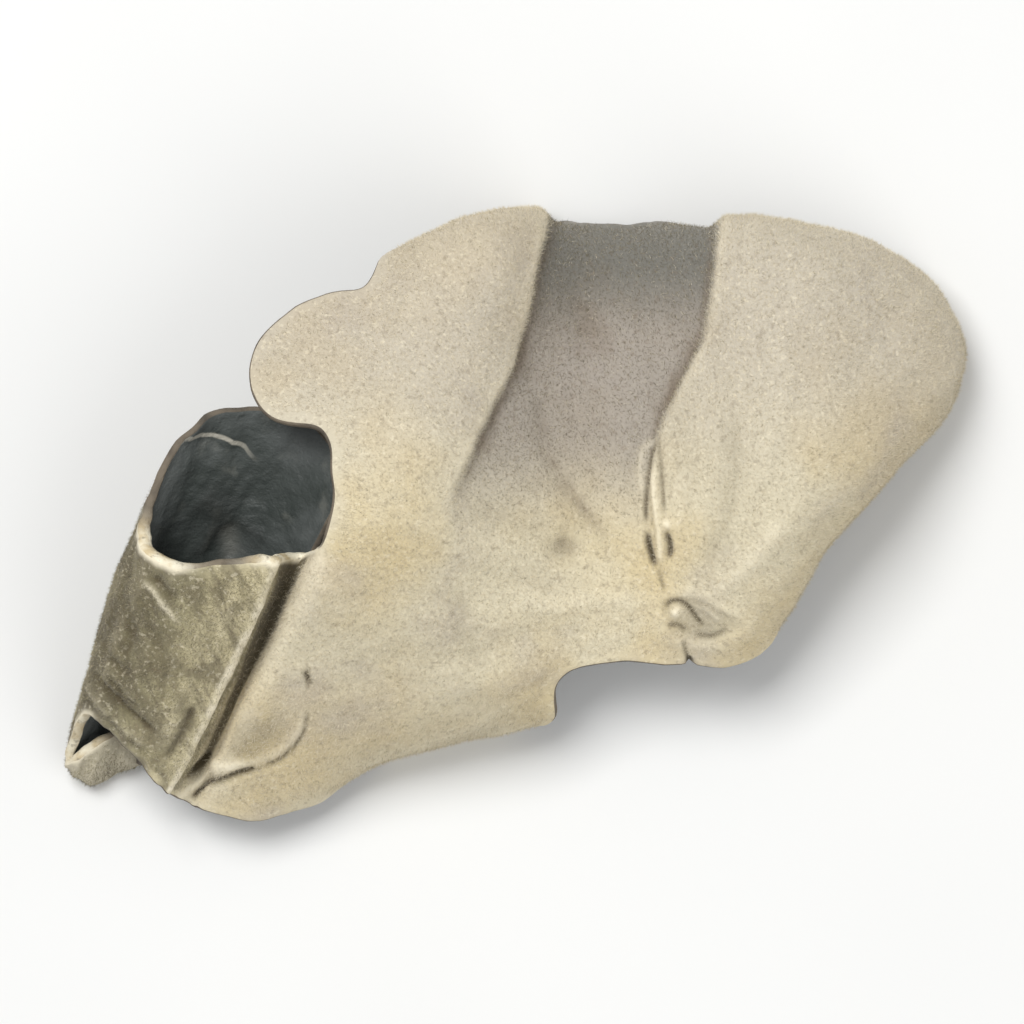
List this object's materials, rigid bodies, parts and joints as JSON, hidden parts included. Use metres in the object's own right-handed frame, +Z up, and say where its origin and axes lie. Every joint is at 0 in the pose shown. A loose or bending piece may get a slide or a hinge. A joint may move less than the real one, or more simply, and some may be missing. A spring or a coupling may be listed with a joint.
{
  "type": "dried wood ear mushroom",
  "caption": "Dried wood ear fungus: a thin arched lamina, beige and downy outside and dark inside, rolled into an open funnel along one side.",
  "frame": {"origin": "middle of the outline, on the surface that it lies on", "axes": "+X across the lamina away from the rolled funnel, +Y towards the funnel's mouth, +Z up"},
  "size_m": [0.06, 0.0412, 0.0185],
  "materials": {
    "dried_flesh": "matt, downy outside and smooth and dark inside"
  },
  "bodies": {
    "root": {"wood_ear": "dried_flesh"}
  },
  "joints": []
}
